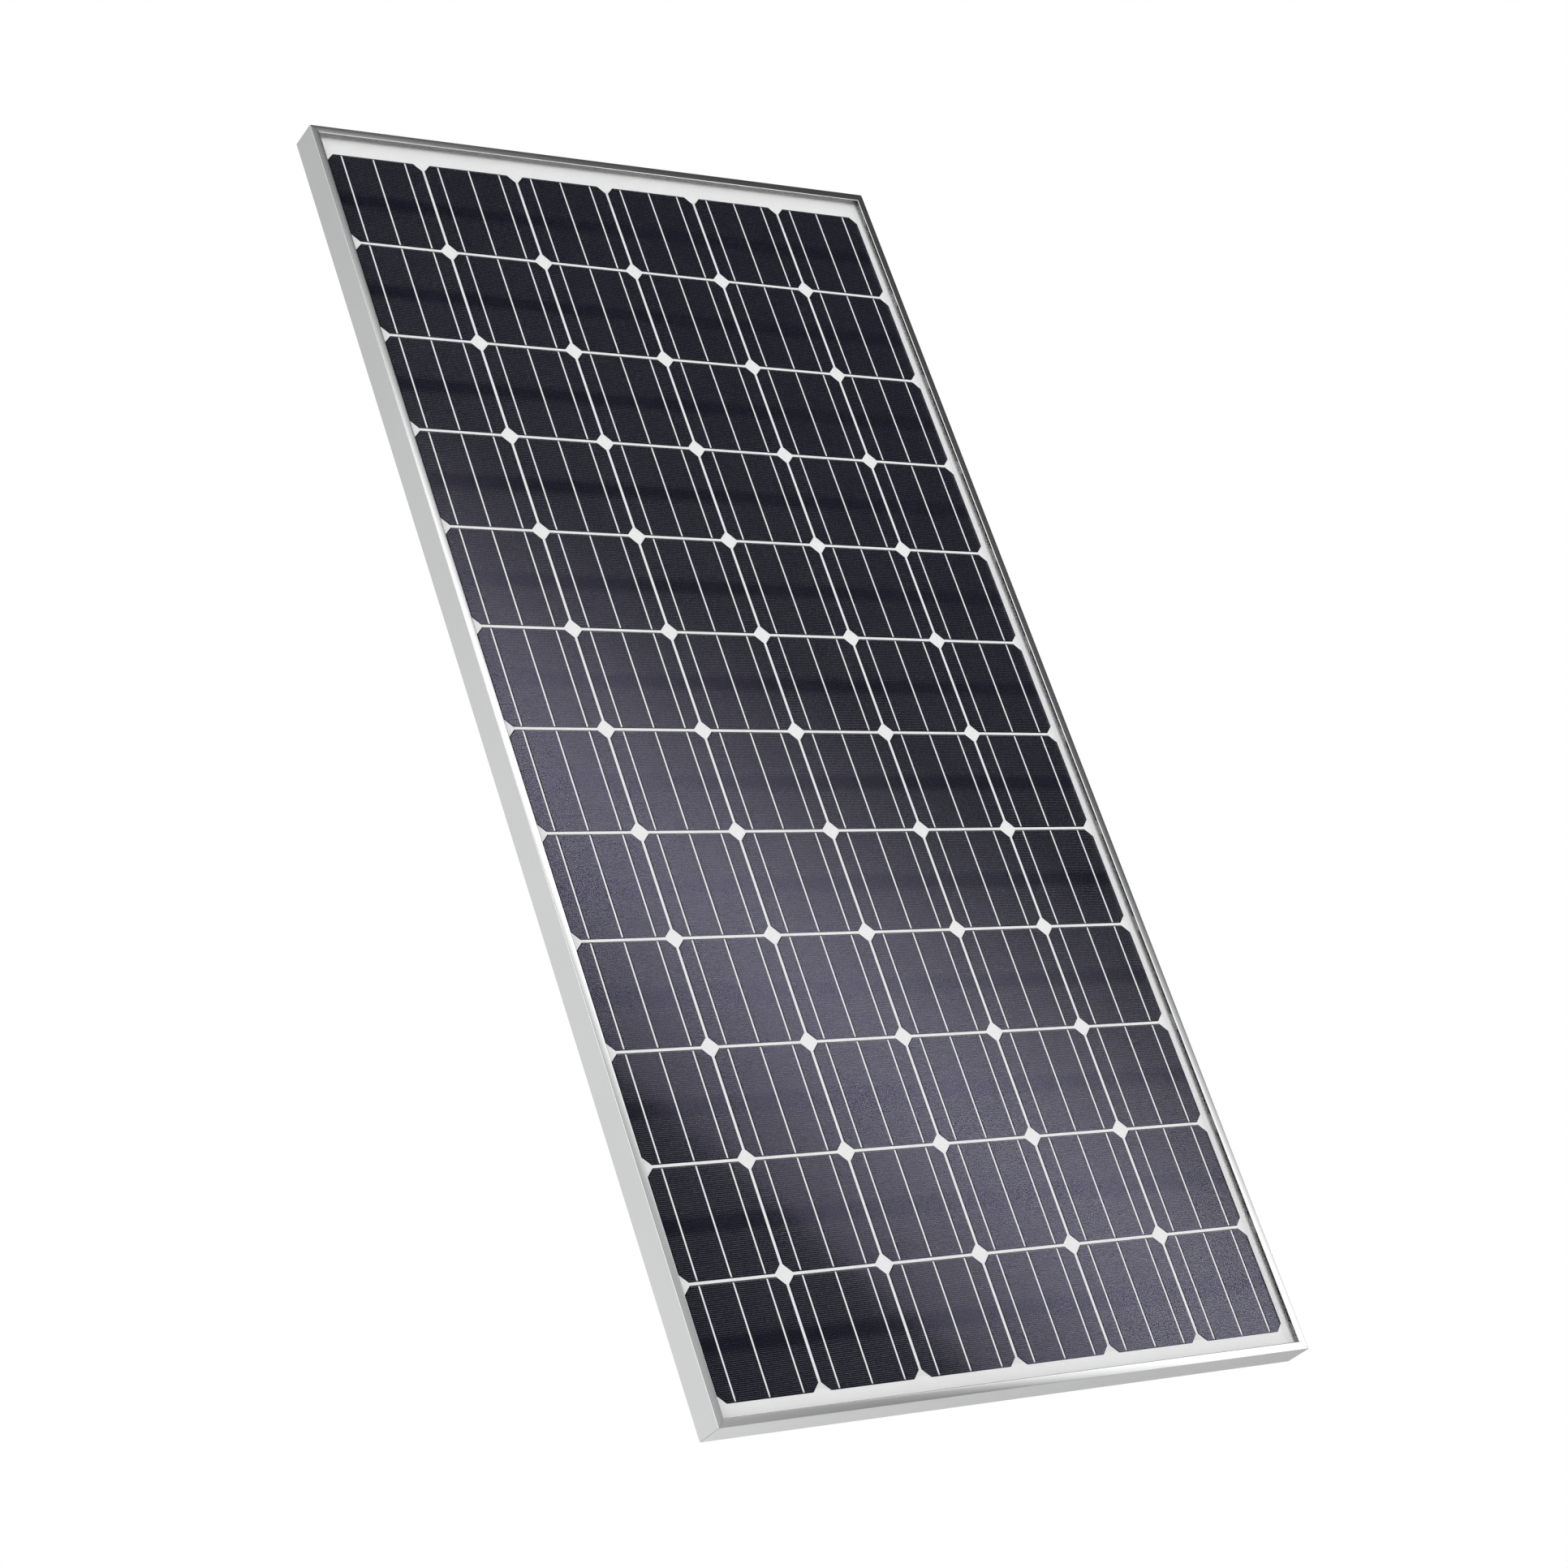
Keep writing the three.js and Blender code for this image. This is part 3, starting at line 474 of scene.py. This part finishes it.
class Solids:
    """Gathers closed solids into one mesh."""

    def __init__(self):
        self.points = []
        self.faces = []

    def prism(self, outline, front, back):
        """A flat solid: the outline is in X and Z, anticlockwise as seen from the front."""
        first = len(self.points)
        count = len(outline)
        self.points += [(x, front, z) for x, z in outline]
        self.points += [(x, back, z) for x, z in outline]
        self.faces.append([first + corner for corner in range(count)])
        self.faces.append([first + count + corner for corner in reversed(range(count))])
        for corner in range(count):
            here = first + corner
            after = first + (corner + 1) % count
            self.faces.append([after, here, here + count, after + count])

    def loft(self, rings):
        """A closed solid through rings with the same number of points."""
        first = len(self.points)
        count = len(rings[0])
        for ring in rings:
            self.points += ring
        for step in range(len(rings) - 1):
            near = first + step * count
            far = near + count
            for corner in range(count):
                after = (corner + 1) % count
                self.faces.append([near + corner, near + after, far + after, far + corner])
        last = first + (len(rings) - 1) * count
        self.faces.append([first + corner for corner in reversed(range(count))])
        self.faces.append([last + corner for corner in range(count)])

    def build(self, name, material, slot):
        """Makes the gathered mesh a piece that rides on the panel."""
        mesh = bpy.data.meshes.new(name)
        mesh.from_pydata(self.points, [], self.faces)
        mesh.validate()
        mesh.update()
        mesh.materials.append(material)
        made = bpy.data.objects.new(name, mesh)
        bpy.context.scene.collection.objects.link(made)
        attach(made, "panel")
        return made


def half_height(x):
    """Half the wafer's height at a place across it."""
    return min(CELL_HALF_Z, CELL_HALF_X + CELL_HALF_Z - CELL_CORNER - abs(x))


def half_width(z):
    """Half the wafer's width at a height."""
    return min(CELL_HALF_X, CELL_HALF_X + CELL_HALF_Z - CELL_CORNER - abs(z))


def wafer_piece(low, high, rim=0.0, shift=0.0):
    """The part of the wafer's outline between two places across it.

    rim is taken off its top and bottom, and shift pulls the cut corners on the left inwards, which
    leaves a painted shadow of bare silicon there.
    """
    flat = CELL_HALF_X - CELL_CORNER
    bends = [x for x in (-flat, shift - flat, flat) if low < x < high]
    tops = [(x, min(half_height(x), half_height(x - shift)) - rim) for x in [low, *bends, high]]
    return [(x, -z) for x, z in tops] + list(reversed(tops))


# --- the cells --------------------------------------------------------------


def cell_centres(string):
    """The wafers' centres in a column. Row 0 is the lowest."""
    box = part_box(string)
    x = (box[0].x + box[1].x) / 2
    bottom = box[0].z + CELL_HALF_Z
    return [(x, bottom + row * PITCH_Z) for row in range(ROWS)]


def shifted(outline, x, z):
    return [(x + right, z + up) for right, up in outline]


def active_spans():
    """The coated spans across a wafer: each starts a painted shadow's width clear of a ribbon, and
    ends under the next.
    """
    starts = [-CELL_HALF_X + SHADOW_EDGE]
    ends = []
    for place in BUSBARS:
        ends.append(place)
        starts.append(place + RIBBON_WIDTH / 2 + SHADOW_EDGE)
    ends.append(CELL_HALF_X - RIM)
    return list(zip(starts, ends))


def finger_strength(height):
    """How wide a finger is, against its full width: it thins across the wafer's middle."""
    from_band = abs(height - THIN_BAND_AT) - THIN_BAND_HALF
    return min(1.0, max(THINNEST, from_band / THIN_BAND_FADE))


def add_finger(solids, x, z, low, high, height, width):
    """One printed line with a ridge along it, kept inside the coated area."""
    reach = half_width(height) - RIM
    low = max(low, SHADOW_EDGE - reach)
    high = min(high, reach)
    if high - low < FINGER_SHORTEST:
        return
    rings = []
    for end in (low, high):
        rings.append(
            [
                (x + end, ACTIVE_FRONT, z + height - width / 2),
                (x + end, FINGER_FRONT, z + height),
                (x + end, ACTIVE_FRONT, z + height + width / 2),
            ]
        )
    solids.loft(rings)


def add_ribbon(solids, x, z):
    """A crowned ribbon, its surface a little uneven with solder."""
    reach = CELL_HALF_Z - RIBBON_INSET
    rings = []
    for step in range(RIBBON_STEPS + 1):
        along = z - reach + 2 * reach * step / RIBBON_STEPS
        half = RIBBON_WIDTH / 2 * (1 + draw.uniform(-RIBBON_WIDTH_VARIES, RIBBON_WIDTH_VARIES))
        crown = RIBBON_FRONT + draw.uniform(0, SOLDER_HOLLOW)
        rings.append(
            [
                (x - half, ACTIVE_FRONT, along),
                (x - half * RIBBON_SHOULDER_SHARE, RIBBON_SHOULDER, along),
                (x - half * RIBBON_CROWN_SHARE, crown, along),
                (x + half * RIBBON_CROWN_SHARE, crown, along),
                (x + half * RIBBON_SHOULDER_SHARE, RIBBON_SHOULDER, along),
                (x + half, ACTIVE_FRONT, along),
            ]
        )
    solids.loft(rings)


def add_fingers(solids, x, z, low, high):
    """The printed lines across one span: the fingers, and the wider line at the top."""
    each_side = int((CELL_HALF_Z - FINGER_MARGIN) / FINGER_PITCH)
    for count in range(-each_side, each_side + 1):
        height = count * FINGER_PITCH
        add_finger(solids, x, z, low, high, height, FINGER_WIDTH * finger_strength(height))
    add_finger(solids, x, z, low, high, CELL_HALF_Z - EDGE_LINE_AT, EDGE_LINE_WIDTH)


def make_cells(materials):
    """Each column of cells, as four pieces that stand in for the column's CAD string."""
    whole = wafer_piece(-CELL_HALF_X, CELL_HALF_X)
    for column in range(1, COLUMNS + 1):
        string = f"cell_string_{column}"
        wafers, active, fingers, ribbons = Solids(), Solids(), Solids(), Solids()
        for x, z in cell_centres(string):
            wafers.prism(shifted(whole, x, z), WAFER_FRONT, CELL_BACK)
            for low, high in active_spans():
                # the coated pieces leave a painted shadow of bare silicon beside the ribbons and along
                # the left edge
                piece = wafer_piece(low, high, RIM, SHADOW_EDGE)
                active.prism(shifted(piece, x, z), ACTIVE_FRONT, WAFER_FRONT)
                add_fingers(fingers, x, z, low, high)
            for place in BUSBARS:
                add_ribbon(ribbons, x + place, z)
        base = wafers.build(f"wafers_{column}", materials["silicon"], "cells")
        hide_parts(string)
        active.build(f"active_areas_{column}", materials["active"], "cells")
        fingers.build(f"fingers_{column}", materials["finger"], "cells")
        made = ribbons.build(f"ribbons_{column}", materials["ribbon"], "tinned_copper")
        made.data.shade_smooth()


# --- finishes of the CAD nodes ----------------------------------------------

# The material of each node, by the start of its name
FINISHES = {
    "left_rail": "long_rail",
    "right_rail": "long_rail",
    "bottom_rail": "short_rail",
    "top_rail": "short_rail",
    "corner_key": "key",
    "front_glass": "glass",
    "front_encapsulant": "film",
    "rear_encapsulant": "white_film",
    "bottom_insulation_strip": "insulation",
    "top_insulation_strip": "insulation",
    "bottom_bus_ribbon": "copper",
    "top_bus_ribbon": "copper",
    "backsheet": "backsheet",
    "edge_sealant": "sealant",
    "junction_box_adhesive": "sealant",
    "junction_box_base": "plastic",
    "junction_box_lid": "plastic",
    "junction_box_gasket": "rubber",
    "lid_hinge_pin": "steel",
    "contact_rail": "copper",
    "bypass_diode": "diode",
    "left_gland_nut": "plastic",
    "right_gland_nut": "plastic",
    "left_gland_seal": "rubber",
    "right_gland_seal": "rubber",
}

# The bevel on the edges of each node with these words in its name
BEVELS = {
    "rail": 0.12 * MM,
    "junction_box": 0.5 * MM,
    "gland_nut": 0.3 * MM,
}
BEVEL_SEGMENTS = 2
BEVEL_ANGLE = math.radians(30)  # edges sharper than this are bevelled
WELD_WITHIN = 0.001 * MM


def bevel_node(node, width):
    """Rounds a node's sharp edges with modifiers, and leaves its mesh as it is."""
    weld = node.modifiers.new("weld", "WELD")
    weld.merge_threshold = WELD_WITHIN
    bevel = node.modifiers.new("bevel", "BEVEL")
    bevel.width = width
    bevel.segments = BEVEL_SEGMENTS
    bevel.limit_method = "ANGLE"
    bevel.angle_limit = BEVEL_ANGLE
    node.data.shade_smooth()
    node.modifiers.new("weighted_normals", "WEIGHTED_NORMAL")


def finish_nodes(materials):
    """Gives every CAD node but the cell strings its material and bevel."""
    for name, node in nodes.items():
        if name.startswith("cell_string"):
            continue
        start = next(start for start in FINISHES if name.startswith(start))
        node.data.materials.clear()
        node.data.materials.append(materials[FINISHES[start]])
        for words, width in BEVELS.items():
            if words in name:
                bevel_node(node, width)


def let_light_through():
    """The clear sheets cast no shadow, and the light that matt surfaces gather passes them by."""
    for name in ("front_glass", "front_encapsulant"):
        nodes[name].visible_shadow = False
        nodes[name].visible_diffuse = False


# --- light and stage --------------------------------------------------------

# The light tent round the object. A nearness is the cosine of the angle from a way
BRIGHT = 0.86
DARK_WAY = Vector((0.80, -0.45, 0.40))  # towards its dark side, at the front right
DARK_NEARNESS = (0.28, 0.72)  # from the first it darkens, and at the second it is dim
DIM = 0.075
GLOW_WAY = Vector((-0.65, -0.62, 0.42))  # towards its brightest side, at the front left
GLOW_NEARNESS = (0.82, 0.97)
GLOW = 2.4  # how much brighter than the rest that side is
HIGH_BAND = (0.42, 0.62)  # heights on a unit sphere between which it falls off upwards
HIGH_SHARE = 0.62  # how much of its brightness is left above them


def facing_level(tree, place, way, nearness, levels):
    """A level that changes as the world's direction nears the given way."""
    facing = add_node(
        tree, "ShaderNodeVectorMath", {1: way.normalized()}, operation="DOT_PRODUCT"
    )
    tree.links.new(place.outputs["Generated"], facing.inputs[0])
    value = facing.outputs["Value"]
    return map_range(tree, value, nearness, levels, interpolation_type="SMOOTHSTEP")


def product(tree, first, second):
    made = add_node(tree, "ShaderNodeMath", operation="MULTIPLY")
    tree.links.new(first, made.inputs[0])
    tree.links.new(second, made.inputs[1])
    return made.outputs["Value"]


def make_world():
    """White where the camera sees it, and round the object a light tent with one dark side."""
    world = bpy.data.worlds.new("studio")
    world.use_nodes = True
    tree = world.node_tree
    tree.nodes.clear()
    place = add_node(tree, "ShaderNodeTexCoord")
    level = facing_level(tree, place, DARK_WAY, DARK_NEARNESS, (BRIGHT, DIM))
    glow = facing_level(tree, place, GLOW_WAY, GLOW_NEARNESS, (1.0, GLOW))
    direction = add_node(tree, "ShaderNodeSeparateXYZ")
    tree.links.new(place.outputs["Generated"], direction.inputs["Vector"])
    falling = map_range(tree, direction.outputs["Z"], HIGH_BAND, (1.0, HIGH_SHARE))
    strength = product(tree, level, product(tree, falling, glow))
    path = add_node(tree, "ShaderNodeLightPath")
    surround = add_node(tree, "ShaderNodeBackground", {"Color": (1, 1, 1, 1)})
    backdrop = add_node(tree, "ShaderNodeBackground", {"Color": (1, 1, 1, 1)})
    mix = add_node(tree, "ShaderNodeMixShader")
    output = add_node(tree, "ShaderNodeOutputWorld")
    tree.links.new(strength, surround.inputs["Strength"])
    tree.links.new(path.outputs["Is Camera Ray"], mix.inputs["Fac"])
    tree.links.new(surround.outputs["Background"], mix.inputs[1])
    tree.links.new(backdrop.outputs["Background"], mix.inputs[2])
    tree.links.new(mix.outputs["Shader"], output.inputs["Surface"])
    bpy.context.scene.world = world


def softbox(name, centre, facing, length_along, length, width, radiance):
    """A rectangular light that the camera doesn't see. facing is the way it shines."""
    data = bpy.data.lights.new(name, "AREA")
    data.shape = "RECTANGLE"
    data.size = width
    data.size_y = length
    data.energy = 4 * length * width * radiance  # the power that gives this radiance
    along = Vector(length_along).normalized()
    back = -Vector(facing)
    back = (back - along * back.dot(along)).normalized()
    across = along.cross(back)
    made = bpy.data.objects.new(name, data)
    turn = Matrix((across, along, back)).transposed()
    made.matrix_world = Matrix.Translation(Vector(centre)) @ turn.to_4x4()
    made.visible_camera = False
    bpy.context.scene.collection.objects.link(made)
    return made


def shade_across(light, profile):
    """Varies a softbox's brightness. The profile gives shares of its width, and the level at each."""
    light.data.use_nodes = True
    tree = light.data.node_tree
    place = add_node(tree, "ShaderNodeNewGeometry")
    parts = add_node(tree, "ShaderNodeSeparateXYZ")
    ramp = add_node(tree, "ShaderNodeValToRGB")
    stops = ramp.color_ramp
    stops.interpolation = "CARDINAL"
    for _ in profile[2:]:
        stops.elements.new(0.5)
    for stop, (share, level) in zip(stops.elements, profile):
        stop.position = share
        stop.color = (level, level, level, 1)
    tree.links.new(place.outputs["Parametric"], parts.inputs["Vector"])
    tree.links.new(parts.outputs["X"], ramp.inputs["Fac"])
    tree.links.new(ramp.outputs["Color"], tree.nodes["Emission"].inputs["Color"])


# The long leaning light that the glass and cells reflect as a pale zone
STRIP_ALONG = Vector((-0.15, -0.51, 0.848))
STRIP_ACROSS = Vector((0.611, 0.642, 0.464))  # from its near edge to its far edge
STRIP_FACING = (-0.785, 0.569, 0.246)
STRIP_NEAR_EDGE = Vector((1.38, -2.48, 1.62))
STRIP_SLIDE = 0.2  # along its length, from that point to its middle
STRIP_LENGTH = 4.8
STRIP_WIDTH = 0.966
STRIP_RADIANCE = 1.4
STRIP_PROFILE = (
    (0.0, 0.5),
    (0.08, 0.55),
    (0.24, 0.85),
    (0.4, 1.0),
    (0.55, 0.78),
    (0.72, 0.38),
    (1.0, 0.0),
)


def make_strip_light():
    centre = STRIP_NEAR_EDGE + STRIP_ACROSS * STRIP_WIDTH / 2 + STRIP_ALONG * STRIP_SLIDE
    light = softbox(
        "strip_light", centre, STRIP_FACING, STRIP_ALONG, STRIP_LENGTH, STRIP_WIDTH, STRIP_RADIANCE
    )
    shade_across(light, STRIP_PROFILE)


def make_soft_lights():
    """Even light from the front, and down onto the floor behind. Neither shows in reflections."""
    front = softbox(
        "fill_light",
        centre=(-1.2, -5.0, 1.4),
        facing=(0.2, 1, -0.1),
        length_along=(0, 0, 1),
        length=4.0,
        width=4.0,
        radiance=1.45,
    )
    back = softbox(
        "back_light",
        centre=(0.6, 4.0, 1.6),
        facing=(0, 0, -1),
        length_along=(1, 0, 0),
        length=2.4,
        width=2.4,
        radiance=3.2,
    )
    front.visible_glossy = False
    back.visible_glossy = False


def make_frame_light():
    """Lights the four rails alone, so that the lips are bright beside the dark cells."""
    light = softbox(
        "frame_light",
        centre=(1.05, -2.6, 2.0),
        facing=(0, 1, 0),
        length_along=(0, 0, 1),
        length=4.5,
        width=2.6,
        radiance=0.34,
    )
    shade_across(light, ((0.0, 1.0), (0.6, 1.0), (0.8, 0.4), (1.0, 0.0)))
    rails = bpy.data.collections.new("rails")
    for name in ("left_rail", "right_rail", "bottom_rail", "top_rail"):
        rails.objects.link(nodes[name])
    light.light_linking.receiver_collection = rails


FLOOR_LEVEL = -1.2
FLOOR_RADIUS = 60.0
FLOOR_SIDES = 96


def make_floor():
    """A wide pale disc, well below the panel and just below the camera."""
    turns = [2 * math.pi * side / FLOOR_SIDES for side in range(FLOOR_SIDES)]
    rim = [
        (FLOOR_RADIUS * math.cos(turn), FLOOR_RADIUS * math.sin(turn), FLOOR_LEVEL) for turn in turns
    ]
    mesh = bpy.data.meshes.new("floor")
    mesh.from_pydata(rim, [], [list(range(FLOOR_SIDES))])
    tones = ((0.86, 0.86, 0.86), (0.88, 0.88, 0.88))
    mesh.materials.append(finish("pale_floor", tones, (0.6, 0.7), grain=60, blotch=1, bump=0.05))
    made = bpy.data.objects.new("floor", mesh)
    bpy.context.scene.collection.objects.link(made)


make_camera()
materials = {**cell_materials(), **sheet_materials(), **hardware_materials()}
make_cells(materials)
finish_nodes(materials)
let_light_through()
make_world()
make_strip_light()
make_soft_lights()
make_frame_light()
make_floor()
bpy.context.scene.view_settings.view_transform = "Standard"
